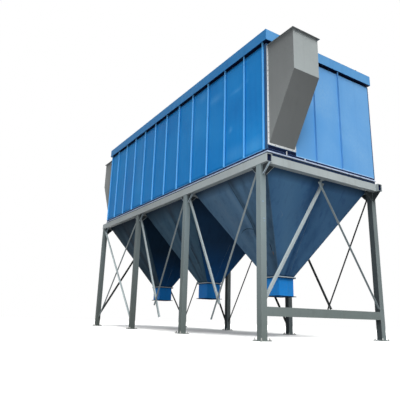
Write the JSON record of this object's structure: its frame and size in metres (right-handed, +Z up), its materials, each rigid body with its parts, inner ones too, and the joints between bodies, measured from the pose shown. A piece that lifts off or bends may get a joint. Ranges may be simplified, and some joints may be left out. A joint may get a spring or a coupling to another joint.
{
  "type": "pulse dust collector",
  "caption": "Box-shaped pulse-jet bag dust collector: ribbed steel housing with end duct hoods, on a braced steel frame, with pyramid hoppers and square outlets.",
  "frame": {"origin": "on the ground, under the centre of the bounding box", "axes": "+X along the length towards the near end with the tie beam, -Y is the front with the hoods beside it, +Z up"},
  "size_m": [12.46, 4.34, 7.9493],
  "materials": {
    "frame_paint": "matt grey primer",
    "hopper_paint": "dusty slate blue paint",
    "outlet_paint": "bright blue paint",
    "housing_paint": "blue paint",
    "dark_paint": "navy paint",
    "valve_aluminium": "cast",
    "hood_paint": "matt grey paint"
  },
  "bodies": {
    "root": {"front_column_1": "frame_paint", "front_column_2": "frame_paint", "front_column_3": "frame_paint", "front_column_4": "frame_paint", "back_column_1": "frame_paint", "back_column_2": "frame_paint", "back_column_3": "frame_paint", "back_column_4": "frame_paint", "front_ring_beam": "frame_paint", "back_ring_beam": "frame_paint", "near_end_beam": "frame_paint", "cross_beams": "frame_paint", "tie_beam": "frame_paint", "column_gussets": "frame_paint", "front_braces_1": "frame_paint", "front_braces_2": "frame_paint", "front_braces_3": "frame_paint", "back_braces_1": "frame_paint", "back_braces_2": "frame_paint", "back_braces_3": "frame_paint", "near_end_braces": "frame_paint", "far_end_braces": "frame_paint", "brace_plates": "frame_paint", "hopper_1": "hopper_paint", "hopper_2": "hopper_paint", "hopper_3": "hopper_paint", "hopper_rim": "hopper_paint", "outlet_1": "outlet_paint", "outlet_2": "outlet_paint", "outlet_3": "outlet_paint", "front_wall": "housing_paint", "back_wall": "housing_paint", "near_end_wall": "housing_paint", "far_end_wall": "housing_paint", "roof_fascia": "housing_paint", "roof_deck": "housing_paint", "roof_covers": "housing_paint", "lifting_lugs": "housing_paint", "air_header": "housing_paint", "foot_frame": "dark_paint", "top_frame": "dark_paint", "pulse_valves": "valve_aluminium", "near_duct_hood": "hood_paint", "far_duct_hood": "hood_paint"}
  },
  "joints": []
}
